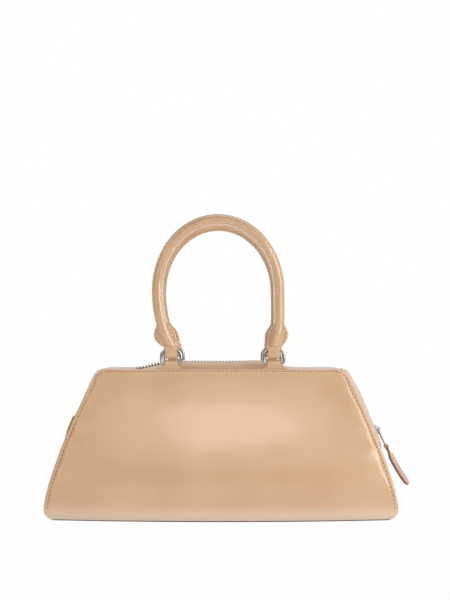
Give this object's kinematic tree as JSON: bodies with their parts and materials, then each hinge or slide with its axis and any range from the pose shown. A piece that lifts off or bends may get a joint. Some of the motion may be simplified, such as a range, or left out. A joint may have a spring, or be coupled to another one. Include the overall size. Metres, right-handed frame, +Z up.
{
  "type": "leather handbag",
  "caption": "Structured trapezoid leather handbag with zipped gusset, rolled twin handles on D-rings and a zip pull.",
  "frame": {"origin": "the middle of the flat underside of the base panel, on the surface that the bag stands on", "axes": "+X to the right along the bag, +Y from the front panel to the rear panel, +Z up"},
  "size_m": [0.3704, 0.1392, 0.3075],
  "materials": {
    "calf_leather": "smooth glazed beige calf",
    "lining_cloth": "woven cotton",
    "zip_tape": "woven tape",
    "polished_steel": "polished, plated",
    "fibre_board": "pressed fibre",
    "cord": "twisted cotton cord"
  },
  "bodies": {
    "shell": {"front_panel": "calf_leather", "rear_panel": "calf_leather", "base_panel": "calf_leather", "base_board": "fibre_board", "front_gusset_strip": "calf_leather", "rear_gusset_strip": "calf_leather", "left_side_gusset": "calf_leather", "right_side_gusset": "calf_leather", "front_zip_tape": "zip_tape", "rear_zip_tape": "zip_tape", "zip_teeth": "polished_steel", "zip_end_stop": "polished_steel", "zip_end_cover": "calf_leather", "front_lining": "lining_cloth", "rear_lining": "lining_cloth", "front_chape_left": "calf_leather", "front_chape_right": "calf_leather", "rear_chape_left": "calf_leather", "rear_chape_right": "calf_leather"},
    "front_rings": {"front_d_ring_left": "polished_steel", "front_d_ring_right": "polished_steel"},
    "rear_rings": {"rear_d_ring_left": "polished_steel", "rear_d_ring_right": "polished_steel"},
    "front_handle": {"front_handle_tab_left": "calf_leather", "front_handle_tab_right": "calf_leather", "front_handle_grip": "calf_leather", "front_handle_core": "cord"},
    "rear_handle": {"rear_handle_tab_left": "calf_leather", "rear_handle_tab_right": "calf_leather", "rear_handle_grip": "calf_leather", "rear_handle_core": "cord"},
    "slider": {"zip_slider": "polished_steel", "zip_slider_wing": "polished_steel"},
    "link": {"zip_link": "polished_steel"},
    "pull": {"zip_pull": "calf_leather"}
  },
  "joints": [
    {"name": "front_rings_swing", "type": "hinge", "parent": "shell", "child": "front_rings", "pos_m": [0.0016, -0.0465, 0.1582], "axis": [1, 0, 0], "range_deg": [-14, 110]},
    {"name": "rear_rings_swing", "type": "hinge", "parent": "shell", "child": "rear_rings", "pos_m": [0.0016, 0.0465, 0.1582], "axis": [-1, 0, 0], "range_deg": [-14, 110]},
    {"name": "front_handle_swing", "type": "hinge", "parent": "front_rings", "child": "front_handle", "pos_m": [0.0016, -0.0465, 0.173], "axis": [-1, 0, 0], "range_deg": [-70, 17]},
    {"name": "rear_handle_swing", "type": "hinge", "parent": "rear_rings", "child": "rear_handle", "pos_m": [0.0016, 0.0465, 0.173], "axis": [1, 0, 0], "range_deg": [-70, 17]},
    {"name": "zip_travel", "type": "slide", "parent": "shell", "child": "slider", "axis": [-0.3874, 0, 0.9219], "range_m": [0, 0.04]},
    {"name": "link_swing", "type": "hinge", "parent": "slider", "child": "link", "pos_m": [0.16193, 0, 0.08965], "axis": [0, -1, 0], "range_deg": [0, 120]},
    {"name": "pull_swing", "type": "hinge", "parent": "link", "child": "pull", "pos_m": [0.17025, 0, 0.07179], "axis": [0, -1, 0], "range_deg": [0, 80]}
  ]
}
